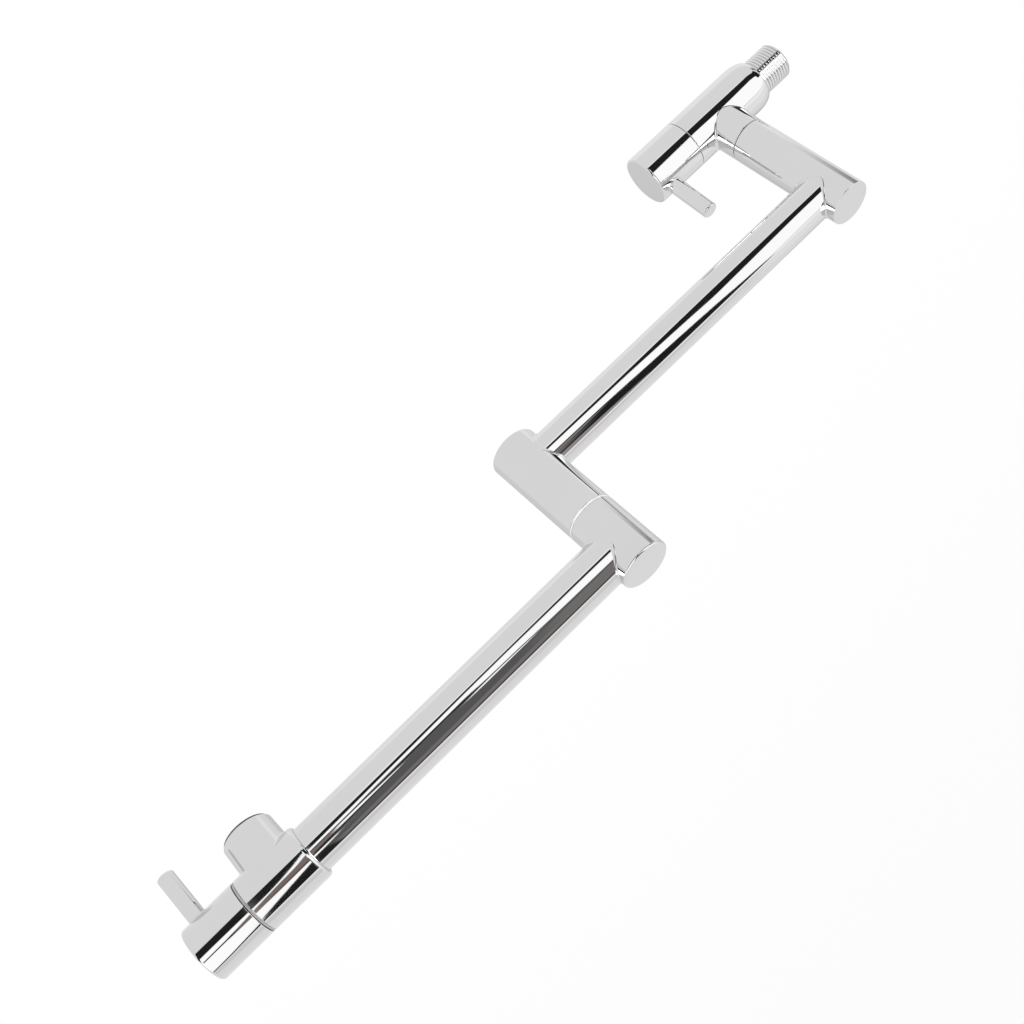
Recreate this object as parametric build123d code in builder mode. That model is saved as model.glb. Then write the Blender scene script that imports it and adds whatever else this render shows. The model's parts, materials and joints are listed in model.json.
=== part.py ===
"""Wall mounted pot filler: two quarter turn valves joined by two swivelling arms.

Millimetres. +X points out of the wall, +Z is up, and the origin lies on the axis of the wall
thread, where the rounded shoulder of the inlet body meets the thread. The arms are drawn
straight out from the wall, with both levers in their closed position.
"""

import os
from math import cos, radians, sin, sqrt

from build123d import *

os.makedirs("parts", exist_ok=True)

# ---------------------------------------------------------------- fits and finishes
running_clearance = 0.06  # radial, between a turning shaft and its bore
bore_relief = 1.0  # a swivel's running bore goes on this far past the end of the post
thread_clearance = 0.08  # radial, between a plain drawn thread and its plain drawn hole
seal_clearance = 0.02  # round a rubber ring, so that no seal bites into metal
turning_gap = 0.12  # axial, between faces that turn on each other
seam_edge = 0.3  # softened edges at the seams of the polished outside
end_edge = 1.2  # rounder edges at the free ends of the middle swivel and the knobs
saddle_radius = 1.5  # blend where a stub or the spout leaves a valve body

# ---------------------------------------------------------------- wall connection, G 1/2
thread_diameter = 20.955
thread_length = 18.0
thread_chamfer = 1.2
inlet_bore = 13.0
shoulder_foot_diameter = 21.6
shoulder_length = 10.0

# ---------------------------------------------------------------- valve bodies
valve_diameter = 28.9
inlet_body_length = 54.0
outlet_body_length = 34.8
collar_radius = 2.0  # rounding of the end that takes the upper arm
tube_socket_depth = 4.8

# ---------------------------------------------------------------- quarter turn cartridge
# Heights are taken from the seat at the bottom of the chamber.
chamber_depth = 27.0
chamber_bore = 19.0
cartridge_thread = 20.955
cartridge_thread_length = 12.5
skirt_diameter = 17.2
seal_height = 2.2
seal_bore = 11.6
skirt_lift = 0.8  # the seal stands this far out of the skirt
disc_diameter = 15.0
disc_height = 3.0
port_radius = 4.3  # centre line of the kidney shaped ports
port_width = 3.0
port_arc = 30.0
half_turn = 180.0
quarter_turn = 90.0
drive_slot_depth = 1.2
drive_width = 5.0
drive_length = 12.0
drive_height = 3.0
thrust_diameter = 13.0
thrust_height = 2.3
window_width = 8.0
hex_across_flats = 21.0
hex_height = 4.0
neck_diameter = 14.0
neck_height = 5.6
spindle_diameter = 8.0
clip_diameter = 12.0
clip_height = 1.0
clip_groove_diameter = 6.6
clip_opening = 5.3
spline_length = 9.0
spline_teeth = 20
spline_notch = 0.4
spindle_ring_height = 22.0
spindle_ring_depth = 1.1
spindle_ring_width = 2.0
body_ring_depth = 1.5
body_ring_width = 1.8

# ---------------------------------------------------------------- knobs and levers
knob_length = 30.0
knob_wall = 1.6
knob_cavity_depth = 10.8
knob_socket_depth = 10.0
lever_diameter = 8.8
lever_reach = 40.5  # from the axis of the valve to the tip
lever_from_open_end = 21.4
lever_seat_radius = 13.2
lever_tip_radius = 1.2
lever_thread = 6.0
lever_thread_depth = 5.6
grub_diameter = 4.0
grub_length = 5.5
grub_socket = 2.0
grub_from_open_end = 15.6
inlet_lever_lean = 4.5  # degrees, towards the back, from straight up
outlet_lever_lean = 7.5  # degrees, towards the front, from straight down
spacer_thickness = 1.3
spacer_inset = 0.2
spacer_edge = 0.45

# ---------------------------------------------------------------- swivels and arms
swivel_1_from_shoulder = 31.5
swivel_1_diameter = 24.2
swivel_1_seam = 26.4  # top of the inlet stub
swivel_1_above_arm = 16.3  # from the axis of arm 1 to the flat top
swivel_1_post = 16.0
swivel_1_post_bore = 10.0
swivel_1_post_foot = 13.5
swivel_1_post_height = 46.5

arm_1_height = 80.5  # above the axis of the inlet valve
arm_1_diameter = 22.0
arm_1_length = 211.0  # between the two swivel axes
arm_wall = 1.5

swivel_2_diameter = 27.4
swivel_2_below_arm = 15.3  # from the axis of arm 1 down to the closed bottom
swivel_2_seam_above_arm = 42.1  # from the axis of arm 1 to the top of the lower socket
swivel_2_above_arm = 16.0  # from the axis of arm 2 to the flat top
swivel_2_post = 18.0
swivel_2_post_bore = 12.0
swivel_2_post_grip = 10.6
swivel_2_post_reach = 30.5

arm_2_above_seam = 22.2  # from the top of the lower socket to the axis of arm 2
arm_2_diameter = 24.4
arm_2_reach = 200.2  # from the second swivel axis to the outlet body

water_way = 14.0  # upright channel inside the swivels
stub_way = 9.0  # channel from the inlet chamber up into the stub
closed_end = 5.6  # metal left at the closed end of a swivel
bearing_1_thickness = 0.5
bearing_1_inset = 0.5
bearing_2_thickness = 0.9
bearing_2_inset = 0.15
post_ring_depth = 1.5
post_ring_width = 2.4
post_ring_pitch = 9.0
post_ring_first = 7.5  # from the bearing face of the post to its first rubber ring
keeper_from_end = 7.0  # from the free end of a post to its keeper groove
keeper_groove_depth = 1.4
keeper_groove_width = 4.6
keeper_tip_gap = 0.3
keeper_sink = 0.6  # the screw's head end lies this far below the surface

# ---------------------------------------------------------------- spout and aerator
spout_from_body_end = 18.0  # from the tube's end of the outlet body
spout_drop = 27.9
spout_root_diameter = 27.9
spout_end_diameter = 26.5
spout_way = 14.0
aerator_thread = 24.0
aerator_depth = 9.5
aerator_wall = 1.9
aerator_lip_diameter = 24.6
aerator_lip_height = 1.2
aerator_washer_height = 1.5
aerator_grid_height = 5.0
aerator_grid_recess = 0.8
aerator_hole = 2.2
aerator_hole_pitch = 2.9
aerator_hole_rows = 5

# ---------------------------------------------------------------- sizes that follow
valve_radius = valve_diameter / 2
arm_1_bore = arm_1_diameter - 2 * arm_wall
arm_2_bore = arm_2_diameter - 2 * arm_wall
swivel_1_top = arm_1_height + swivel_1_above_arm
swivel_2_x = swivel_1_from_shoulder + arm_1_length
swivel_2_bottom = arm_1_height - swivel_2_below_arm
swivel_2_seam = arm_1_height + swivel_2_seam_above_arm
arm_2_height = swivel_2_seam + arm_2_above_seam
swivel_2_top = arm_2_height + swivel_2_above_arm
outlet_body_start = swivel_2_x + arm_2_reach
outlet_mouth_x = outlet_body_start + outlet_body_length
spout_x = outlet_body_start + spout_from_body_end
sleeve_bottom = swivel_1_seam + bearing_1_thickness + turning_gap
hub_bottom = swivel_2_seam + bearing_2_thickness + turning_gap
post_1_top = swivel_1_post_foot + swivel_1_post_height
post_2_top = hub_bottom + swivel_2_post_grip
post_2_bottom = post_2_top - swivel_2_post_grip - swivel_2_post_reach

# Faces that the pieces are drawn from: each one's z axis is the axis of its valve or swivel.
inlet_face = Plane(origin=(inlet_body_length, 0, 0), x_dir=(0, 0, 1), z_dir=(1, 0, 0))
outlet_face = Plane(origin=(outlet_mouth_x, 0, arm_2_height), x_dir=(0, 0, -1), z_dir=(1, 0, 0))
swivel_1 = Plane(origin=(swivel_1_from_shoulder, 0, 0))
swivel_2 = Plane(origin=(swivel_2_x, 0, 0))


def turned(face, outline, mode=Mode.ADD):
    """Revolve a closed outline of (height, radius) corners round the axis of a face."""
    with BuildSketch(Plane(origin=face.origin, x_dir=face.z_dir, z_dir=face.y_dir)) as half:
        with BuildLine():
            Polyline(*outline, close=True)
        make_face()
    revolve(half.sketch, axis=Axis(face.origin, face.z_dir), mode=mode)


def turned_bar(face, bottom, top, radius, mode=Mode.ADD):
    """A round bar along the axis of a face."""
    turned(face, [(bottom, 0), (bottom, radius), (top, radius), (top, 0)], mode)


def turned_ring(face, bottom, top, inner, outer, mode=Mode.ADD):
    """A round ring about the axis of a face."""
    turned(face, [(bottom, inner), (bottom, outer), (top, outer), (top, inner)], mode)


def rubber_ring(face, bottom, width, inner, outer):
    """A squeezed rubber ring: flat where it seals, rounded at both edges."""
    corner = (outer - inner) / 4
    turned(
        face,
        [
            (bottom, inner + corner),
            (bottom + corner, inner),
            (bottom + width - corner, inner),
            (bottom + width, inner + corner),
            (bottom + width, outer - corner),
            (bottom + width - corner, outer),
            (bottom + corner, outer),
            (bottom, outer - corner),
        ],
    )


def across(face, height, direction):
    """A plane on the axis of a face at a height, looking out sideways."""
    return Plane(origin=face.offset(height).origin, z_dir=direction)


def leaned(face, degrees):
    """The face of a knob, turned so that its x axis points along the lever."""
    along = face.x_dir * cos(radians(degrees)) + face.y_dir * sin(radians(degrees))
    return Plane(origin=face.origin, x_dir=along, z_dir=face.z_dir)


# ================================================================ inlet body
thread_radius = thread_diameter / 2
shoulder_foot_radius = shoulder_foot_diameter / 2
seat_x = inlet_body_length - chamber_depth

with BuildPart() as inlet_body:
    with BuildSketch(Plane.XZ):
        with BuildLine():
            Polyline(
                (shoulder_length, valve_radius),
                (inlet_body_length, valve_radius),
                (inlet_body_length, 0),
                (-thread_length, 0),
                (-thread_length, thread_radius - thread_chamfer),
                (-thread_length + thread_chamfer, thread_radius),
                (0, thread_radius),
                (0, shoulder_foot_radius),
            )
            EllipticalCenterArc(
                (shoulder_length, shoulder_foot_radius),
                shoulder_length,
                valve_radius - shoulder_foot_radius,
                start_angle=quarter_turn,
                arc_size=quarter_turn,
            )
        make_face()
    revolve(axis=Axis.X)
    with BuildSketch(swivel_1):
        Circle(swivel_1_diameter / 2)
    extrude(amount=swivel_1_seam)
    rims = inlet_body.edges().filter_by(GeomType.CIRCLE)
    fillet([rims.sort_by(Axis.X)[-1], rims.sort_by(Axis.Z)[-1]], seam_edge)
    fillet(inlet_body.edges().filter_by(GeomType.BSPLINE), saddle_radius)
    turned_bar(Plane(origin=(0, 0, 0), z_dir=(1, 0, 0)), -thread_length, seat_x, inlet_bore / 2, Mode.SUBTRACT)
    turned_bar(inlet_face, -chamber_depth, 0, chamber_bore / 2, Mode.SUBTRACT)
    turned_bar(inlet_face, -cartridge_thread_length, 0, cartridge_thread / 2, Mode.SUBTRACT)
    turned_bar(swivel_1, 0, swivel_1_post_foot, stub_way / 2, Mode.SUBTRACT)
    post_hole = swivel_1_post / 2 + thread_clearance
    turned_bar(swivel_1, swivel_1_post_foot, swivel_1_seam, post_hole, Mode.SUBTRACT)

inlet_body.part.label = "inlet_body"
export_step(inlet_body.part, "parts/inlet_body.step")


# ================================================================ swivel posts
def swivel_post(face, foot, free_end, radius, bore, bearing_face):
    """A tubular post with two rubber ring grooves and a keeper groove near its free end."""
    way = 1 if free_end > foot else -1
    with BuildPart() as post:
        turned_ring(face, foot, free_end, bore / 2, radius)
        for number in range(2):
            middle = bearing_face + way * (post_ring_first + number * post_ring_pitch)
            bottom = middle - post_ring_width / 2
            ring_root = radius - post_ring_depth
            turned_ring(face, bottom, bottom + post_ring_width, ring_root, radius, Mode.SUBTRACT)
        keeper = free_end - way * keeper_from_end
        bottom = keeper - keeper_groove_width / 2
        keeper_root = radius - keeper_groove_depth
        turned_ring(face, bottom, bottom + keeper_groove_width, keeper_root, radius, Mode.SUBTRACT)
    return post


def post_rings(face, way, radius, bearing_face):
    """The two rubber rings of a swivel post, as one group."""
    width = post_ring_width - 2 * seal_clearance
    inner = radius - post_ring_depth + seal_clearance
    outer = radius + running_clearance - seal_clearance
    with BuildPart() as rings:
        for number in range(2):
            middle = bearing_face + way * (post_ring_first + number * post_ring_pitch)
            rubber_ring(face, middle - width / 2, width, inner, outer)
    return rings


inlet_post = swivel_post(
    swivel_1, swivel_1_post_foot, post_1_top, swivel_1_post / 2, swivel_1_post_bore, sleeve_bottom
)
inlet_post.part.label = "inlet_post"
export_step(inlet_post.part, "parts/inlet_post.step")

inlet_post_rings = post_rings(swivel_1, 1, swivel_1_post / 2, sleeve_bottom)
inlet_post_rings.part.label = "inlet_post_rings"
export_step(inlet_post_rings.part, "parts/inlet_post_rings.step")

arm_2_post = swivel_post(
    swivel_2, post_2_top, post_2_bottom, swivel_2_post / 2, swivel_2_post_bore, swivel_2_seam
)
arm_2_post.part.label = "arm_2_post"
export_step(arm_2_post.part, "parts/arm_2_post.step")

arm_2_post_rings = post_rings(swivel_2, -1, swivel_2_post / 2, swivel_2_seam)
arm_2_post_rings.part.label = "arm_2_post_rings"
export_step(arm_2_post_rings.part, "parts/arm_2_post_rings.step")

with BuildPart() as swivel_1_bearing:
    turned_ring(
        swivel_1,
        swivel_1_seam,
        swivel_1_seam + bearing_1_thickness,
        swivel_1_post / 2 + running_clearance,
        swivel_1_diameter / 2 - bearing_1_inset,
    )
swivel_1_bearing.part.label = "swivel_1_bearing"
export_step(swivel_1_bearing.part, "parts/swivel_1_bearing.step")

with BuildPart() as swivel_2_bearing:
    turned_ring(
        swivel_2,
        swivel_2_seam,
        swivel_2_seam + bearing_2_thickness,
        swivel_2_post / 2 + running_clearance,
        swivel_2_diameter / 2 - bearing_2_inset,
    )
swivel_2_bearing.part.label = "swivel_2_bearing"
export_step(swivel_2_bearing.part, "parts/swivel_2_bearing.step")

# ================================================================ arm 1
keeper_1_height = post_1_top - keeper_from_end
keeper_2_height = post_2_bottom + keeper_from_end
sleeve_radius = swivel_1_diameter / 2
socket_radius = swivel_2_diameter / 2
arm_1_axis = Plane(origin=(swivel_1_from_shoulder, 0, arm_1_height), z_dir=(1, 0, 0))
arm_2_axis = Plane(origin=(swivel_2_x, 0, arm_2_height), z_dir=(1, 0, 0))
back = Vector(0, 1, 0)


def keeper_hole(face, height, radius):
    """The tapped hole through a swivel wall for its keeper screw."""
    hole_radius = grub_diameter / 2 + thread_clearance
    turned_bar(across(face, height, back), 0, radius, hole_radius, Mode.SUBTRACT)


def keeper_screw(face, height, post_radius, radius):
    """A socket head grub screw whose tip rides in the keeper groove of the post."""
    tip = post_radius - keeper_groove_depth + keeper_tip_gap
    head = radius - keeper_sink
    with BuildPart() as screw:
        turned_bar(across(face, height, back), tip, head, grub_diameter / 2)
        with BuildSketch(across(face, height, back).offset(head)):
            RegularPolygon(grub_socket / 2, 6, major_radius=False)
        extrude(amount=-grub_socket, mode=Mode.SUBTRACT)
    return screw


with BuildPart() as arm_1_sleeve:
    turned_bar(swivel_1, sleeve_bottom, swivel_1_top, sleeve_radius)
    rims = arm_1_sleeve.edges().filter_by(GeomType.CIRCLE).sort_by(Axis.Z)
    fillet(rims[-1], seam_edge)
    running_bore = swivel_1_post / 2 + running_clearance
    turned_bar(swivel_1, sleeve_bottom, post_1_top + bore_relief, running_bore, Mode.SUBTRACT)
    turned_bar(swivel_1, post_1_top, swivel_1_top - closed_end, water_way / 2, Mode.SUBTRACT)
    turned_bar(arm_1_axis, 0, swivel_1_diameter, arm_1_bore / 2, Mode.SUBTRACT)
    keeper_hole(swivel_1, keeper_1_height, sleeve_radius)
arm_1_sleeve.part.label = "arm_1_sleeve"
export_step(arm_1_sleeve.part, "parts/arm_1_sleeve.step")

arm_1_keeper = keeper_screw(swivel_1, keeper_1_height, swivel_1_post / 2, sleeve_radius)
arm_1_keeper.part.label = "arm_1_keeper"
export_step(arm_1_keeper.part, "parts/arm_1_keeper.step")

with BuildPart() as arm_1_tube:
    turned_ring(arm_1_axis, 0, arm_1_length, arm_1_bore / 2, arm_1_diameter / 2)
    turned_bar(swivel_1, 0, swivel_1_top, sleeve_radius, Mode.SUBTRACT)
    turned_bar(swivel_2, 0, swivel_2_seam, socket_radius, Mode.SUBTRACT)
arm_1_tube.part.label = "arm_1_tube"
export_step(arm_1_tube.part, "parts/arm_1_tube.step")

with BuildPart() as arm_1_socket:
    turned_bar(swivel_2, swivel_2_bottom, swivel_2_seam, socket_radius)
    rims = arm_1_socket.edges().filter_by(GeomType.CIRCLE).sort_by(Axis.Z)
    fillet(rims[0], end_edge)
    fillet(rims[-1], seam_edge)
    running_bore = swivel_2_post / 2 + running_clearance
    turned_bar(swivel_2, post_2_bottom - bore_relief, swivel_2_seam, running_bore, Mode.SUBTRACT)
    turned_bar(swivel_2, swivel_2_bottom + closed_end, post_2_bottom, water_way / 2, Mode.SUBTRACT)
    turned_bar(arm_1_axis, arm_1_length / 2, arm_1_length, arm_1_bore / 2, Mode.SUBTRACT)
    keeper_hole(swivel_2, keeper_2_height, socket_radius)
arm_1_socket.part.label = "arm_1_socket"
export_step(arm_1_socket.part, "parts/arm_1_socket.step")

socket_keeper = keeper_screw(swivel_2, keeper_2_height, swivel_2_post / 2, socket_radius)
socket_keeper.part.label = "socket_keeper"
export_step(socket_keeper.part, "parts/socket_keeper.step")

# ================================================================ arm 2
with BuildPart() as arm_2_hub:
    turned_bar(swivel_2, hub_bottom, swivel_2_top, socket_radius)
    rims = arm_2_hub.edges().filter_by(GeomType.CIRCLE).sort_by(Axis.Z)
    fillet(rims[0], seam_edge)
    fillet(rims[-1], end_edge)
    post_hole = swivel_2_post / 2 + thread_clearance
    turned_bar(swivel_2, hub_bottom, post_2_top, post_hole, Mode.SUBTRACT)
    turned_bar(swivel_2, post_2_top, swivel_2_top - closed_end, water_way / 2, Mode.SUBTRACT)
    turned_bar(arm_2_axis, 0, swivel_2_diameter, arm_2_bore / 2, Mode.SUBTRACT)
arm_2_hub.part.label = "arm_2_hub"
export_step(arm_2_hub.part, "parts/arm_2_hub.step")

with BuildPart() as arm_2_tube:
    tube_end = arm_2_reach + tube_socket_depth
    turned_ring(arm_2_axis, 0, tube_end, arm_2_bore / 2, arm_2_diameter / 2)
    turned_bar(swivel_2, hub_bottom, swivel_2_top, socket_radius, Mode.SUBTRACT)
arm_2_tube.part.label = "arm_2_tube"
export_step(arm_2_tube.part, "parts/arm_2_tube.step")

# ================================================================ outlet body and spout
outlet_down = Plane(origin=(spout_x, 0, arm_2_height), z_dir=(0, 0, -1))

with BuildPart() as outlet_body:
    turned_bar(outlet_face, -outlet_body_length, 0, valve_radius)
    spout_end_radius = spout_end_diameter / 2
    turned(
        outlet_down,
        [(0, 0), (0, spout_root_diameter / 2), (spout_drop, spout_end_radius), (spout_drop, 0)],
    )
    rims = outlet_body.edges().filter_by(GeomType.CIRCLE)
    fillet(rims.sort_by(Axis.X)[0], collar_radius)
    fillet([rims.sort_by(Axis.X)[-1], rims.sort_by(Axis.Z)[0]], seam_edge)
    fillet(outlet_body.edges().filter_by(GeomType.BSPLINE), saddle_radius)
    tube_hole = arm_2_diameter / 2 + thread_clearance
    tube_floor = tube_socket_depth - outlet_body_length
    turned_bar(outlet_face, -outlet_body_length, tube_floor, tube_hole, Mode.SUBTRACT)
    turned_bar(outlet_face, -outlet_body_length, -chamber_depth, inlet_bore / 2, Mode.SUBTRACT)
    turned_bar(outlet_face, -chamber_depth, 0, chamber_bore / 2, Mode.SUBTRACT)
    turned_bar(outlet_face, -cartridge_thread_length, 0, cartridge_thread / 2, Mode.SUBTRACT)
    turned_bar(outlet_down, 0, spout_drop, spout_way / 2, Mode.SUBTRACT)
    aerator_floor = spout_drop - aerator_depth
    turned_bar(outlet_down, aerator_floor, spout_drop, aerator_thread / 2, Mode.SUBTRACT)
outlet_body.part.label = "outlet_body"
export_step(outlet_body.part, "parts/outlet_body.step")

shell_radius = aerator_thread / 2 - thread_clearance
shell_bore = shell_radius - aerator_wall
washer_bottom = aerator_floor + aerator_washer_height
shell_end = spout_drop + aerator_lip_height
grid_end = shell_end - aerator_grid_recess

with BuildPart() as aerator_shell:
    turned(
        outlet_down,
        [
            (washer_bottom, shell_bore),
            (washer_bottom, shell_radius),
            (spout_drop, shell_radius),
            (spout_drop, aerator_lip_diameter / 2),
            (shell_end, aerator_lip_diameter / 2),
            (shell_end, shell_bore),
        ],
    )
aerator_shell.part.label = "aerator_shell"
export_step(aerator_shell.part, "parts/aerator_shell.step")

with BuildPart() as aerator_washer:
    turned_ring(outlet_down, aerator_floor, washer_bottom, spout_way / 2, shell_radius)
aerator_washer.part.label = "aerator_washer"
export_step(aerator_washer.part, "parts/aerator_washer.step")

with BuildPart() as aerator_grid:
    with BuildSketch(outlet_down.offset(grid_end)):
        Circle(shell_bore)
        with HexLocations(
            aerator_hole_pitch / 2, aerator_hole_rows, aerator_hole_rows, major_radius=False
        ):
            Circle(aerator_hole / 2, mode=Mode.SUBTRACT)
    extrude(amount=-aerator_grid_height)
aerator_grid.part.label = "aerator_grid"
export_step(aerator_grid.part, "parts/aerator_grid.step")


# ================================================================ quarter turn cartridges
fixed_disc_bottom = seal_height
turning_disc_bottom = fixed_disc_bottom + disc_height
turning_disc_top = turning_disc_bottom + disc_height
drive_bottom = turning_disc_top - drive_slot_depth
thrust_bottom = turning_disc_top + drive_height
thrust_top = thrust_bottom + thrust_height
neck_top = chamber_depth + hex_height + neck_height
clip_bottom = neck_top + turning_gap
spline_bottom = clip_bottom + clip_height + turning_gap
spindle_top = spline_bottom + spline_length
disc_radius = disc_diameter / 2
skirt_bore = disc_radius + running_clearance
spindle_radius = spindle_diameter / 2


def kidney_ports(turn):
    """Two kidney shaped ports, opposite each other, turned by an angle."""
    for middle in (turn, turn + half_turn):
        with BuildLine(mode=Mode.PRIVATE) as centre_line:
            CenterArc((0, 0), port_radius, middle - port_arc / 2, port_arc)
        SlotArc(centre_line.edge(), port_width, mode=Mode.SUBTRACT)


def spline_circle(radius, notch):
    """A circle with one V notch for each tooth space."""
    Circle(radius)
    with PolarLocations(radius, spline_teeth):
        RegularPolygon(notch, 4, mode=Mode.SUBTRACT)


def cartridge_set(valve, face, knob_face):
    """Housing, seals, discs, spindle and clip of one quarter turn cartridge."""
    seat = face.offset(-chamber_depth)
    turning_seat = knob_face.offset(-chamber_depth)

    with BuildPart() as housing:
        thread_radius_inside = cartridge_thread / 2 - thread_clearance
        thread_bottom = chamber_depth - cartridge_thread_length
        turned(
            seat,
            [
                (skirt_lift, skirt_bore),
                (skirt_lift, skirt_diameter / 2),
                (thread_bottom, skirt_diameter / 2),
                (thread_bottom, thread_radius_inside),
                (chamber_depth, thread_radius_inside),
                (chamber_depth, neck_diameter / 2),
                (neck_top, neck_diameter / 2),
                (neck_top, spindle_radius + running_clearance),
                (thrust_top + turning_gap, spindle_radius + running_clearance),
                (thrust_top + turning_gap, skirt_bore),
            ],
        )
        with BuildSketch(seat.offset(chamber_depth)):
            RegularPolygon(hex_across_flats / 2, 6, major_radius=False)
            Circle(spindle_radius + running_clearance, mode=Mode.SUBTRACT)
        extrude(amount=hex_height)
        window_middle = (turning_disc_bottom + thrust_bottom) / 2
        with BuildSketch(across(seat, window_middle, seat.x_dir)):
            Rectangle(thrust_bottom - turning_disc_bottom, window_width)
        extrude(amount=skirt_diameter, both=True, mode=Mode.SUBTRACT)
        ring_bottom = chamber_depth - body_ring_width
        ring_root = thread_radius_inside - body_ring_depth
        turned_ring(seat, ring_bottom, chamber_depth, ring_root, cartridge_thread, Mode.SUBTRACT)
    housing.part.label = f"{valve}_cartridge"
    export_step(housing.part, f"parts/{valve}_cartridge.step")

    with BuildPart() as body_ring:
        rubber_ring(
            seat,
            ring_bottom + seal_clearance,
            body_ring_width - 2 * seal_clearance,
            ring_root + seal_clearance,
            cartridge_thread / 2 - seal_clearance,
        )
    body_ring.part.label = f"{valve}_body_ring"
    export_step(body_ring.part, f"parts/{valve}_body_ring.step")

    with BuildPart() as seat_seal:
        turned_ring(seat, 0, seal_height, seal_bore / 2, disc_radius)
    seat_seal.part.label = f"{valve}_seat_seal"
    export_step(seat_seal.part, f"parts/{valve}_seat_seal.step")

    with BuildPart() as fixed_disc:
        with BuildSketch(seat.offset(fixed_disc_bottom)):
            Circle(disc_radius)
            kidney_ports(0)
        extrude(amount=disc_height)
    fixed_disc.part.label = f"{valve}_fixed_disc"
    export_step(fixed_disc.part, f"parts/{valve}_fixed_disc.step")

    with BuildPart() as turning_disc:
        with BuildSketch(turning_seat.offset(turning_disc_bottom)):
            Circle(disc_radius)
            kidney_ports(quarter_turn)
        extrude(amount=disc_height)
        with BuildSketch(turning_seat.offset(turning_disc_top)):
            slot_gap = 2 * running_clearance
            Rectangle(drive_length + slot_gap, drive_width + slot_gap)
        extrude(amount=-drive_slot_depth, mode=Mode.SUBTRACT)
    turning_disc.part.label = f"{valve}_turning_disc"
    export_step(turning_disc.part, f"parts/{valve}_turning_disc.step")

    with BuildPart() as spindle:
        with BuildSketch(turning_seat.offset(drive_bottom)):
            Rectangle(drive_length, drive_width)
        extrude(amount=thrust_bottom - drive_bottom)
        turned_bar(turning_seat, thrust_bottom, thrust_top, thrust_diameter / 2)
        turned_bar(turning_seat, thrust_top, spline_bottom, spindle_radius)
        with BuildSketch(turning_seat.offset(spline_bottom)):
            spline_circle(spindle_radius, spline_notch)
        extrude(amount=spline_length)
        groove_root = spindle_radius - spindle_ring_depth
        groove_top = spindle_ring_height + spindle_ring_width
        turned_ring(
            turning_seat, spindle_ring_height, groove_top, groove_root, spindle_diameter, Mode.SUBTRACT
        )
        turned_ring(
            turning_seat,
            clip_bottom,
            clip_bottom + clip_height,
            clip_groove_diameter / 2,
            spindle_diameter,
            Mode.SUBTRACT,
        )
    spindle.part.label = f"{valve}_spindle"
    export_step(spindle.part, f"parts/{valve}_spindle.step")

    with BuildPart() as spindle_ring:
        rubber_ring(
            turning_seat,
            spindle_ring_height + seal_clearance,
            spindle_ring_width - 2 * seal_clearance,
            groove_root + seal_clearance,
            spindle_radius + running_clearance - seal_clearance,
        )
    spindle_ring.part.label = f"{valve}_spindle_ring"
    export_step(spindle_ring.part, f"parts/{valve}_spindle_ring.step")

    with BuildPart() as spindle_clip:
        turned_ring(
            turning_seat,
            clip_bottom,
            clip_bottom + clip_height,
            clip_groove_diameter / 2 + seal_clearance,
            clip_diameter / 2,
        )
        with BuildSketch(turning_seat.offset(clip_bottom)):
            with Locations((clip_diameter / 2, 0)):
                Rectangle(clip_diameter, clip_opening)
        extrude(amount=clip_height, mode=Mode.SUBTRACT)
    spindle_clip.part.label = f"{valve}_spindle_clip"
    export_step(spindle_clip.part, f"parts/{valve}_spindle_clip.step")


# ================================================================ knobs
def knob_set(valve, face, open_end):
    """Knob, lever and grub screw of one valve; open_end is the gap from the body to the knob."""
    start = face.offset(open_end)
    lever_way = across(start, lever_from_open_end, face.x_dir)
    grub_way = across(start, grub_from_open_end, back)
    lever_radius = lever_diameter / 2

    with BuildPart() as knob:
        turned_bar(start, 0, knob_length, valve_radius)
        rims = knob.edges().filter_by(GeomType.CIRCLE).sort_by(Axis.X)
        fillet(rims[0], seam_edge)
        fillet(rims[-1], end_edge)
        turned_bar(start, 0, knob_cavity_depth, valve_radius - knob_wall, Mode.SUBTRACT)
        with BuildSketch(start.offset(knob_cavity_depth)):
            fit = running_clearance
            spline_circle(spindle_radius + fit, spline_notch + fit - fit * sqrt(2))
        extrude(amount=knob_socket_depth, mode=Mode.SUBTRACT)
        lever_hole = lever_thread / 2 + thread_clearance
        lever_foot = lever_seat_radius - lever_thread_depth
        turned_bar(lever_way, lever_foot, valve_radius, lever_hole, Mode.SUBTRACT)
        seat_hole = lever_radius + thread_clearance
        turned_bar(lever_way, lever_seat_radius, valve_radius, seat_hole, Mode.SUBTRACT)
        grub_hole = grub_diameter / 2 + thread_clearance
        turned_bar(grub_way, spindle_radius, valve_radius, grub_hole, Mode.SUBTRACT)
    knob.part.label = f"{valve}_knob"
    export_step(knob.part, f"parts/{valve}_knob.step")

    with BuildPart() as lever:
        turned_bar(lever_way, lever_foot, lever_seat_radius, lever_thread / 2)
        turned_bar(lever_way, lever_seat_radius, lever_reach, lever_radius)
        tip = lever.edges().filter_by(GeomType.CIRCLE).sort_by(Axis(lever_way.origin, face.x_dir))[-1]
        fillet(tip, lever_tip_radius)
    lever.part.label = f"{valve}_lever"
    export_step(lever.part, f"parts/{valve}_lever.step")

    with BuildPart() as grub_screw:
        grub_tip = spindle_radius + running_clearance
        turned_bar(grub_way, grub_tip, grub_tip + grub_length, grub_diameter / 2)
        with BuildSketch(grub_way.offset(grub_tip + grub_length)):
            RegularPolygon(grub_socket / 2, 6, major_radius=False)
        extrude(amount=-grub_socket, mode=Mode.SUBTRACT)
    grub_screw.part.label = f"{valve}_grub_screw"
    export_step(grub_screw.part, f"parts/{valve}_grub_screw.step")


inlet_knob_face = leaned(inlet_face, -inlet_lever_lean)
outlet_knob_face = leaned(outlet_face, -outlet_lever_lean)

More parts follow.
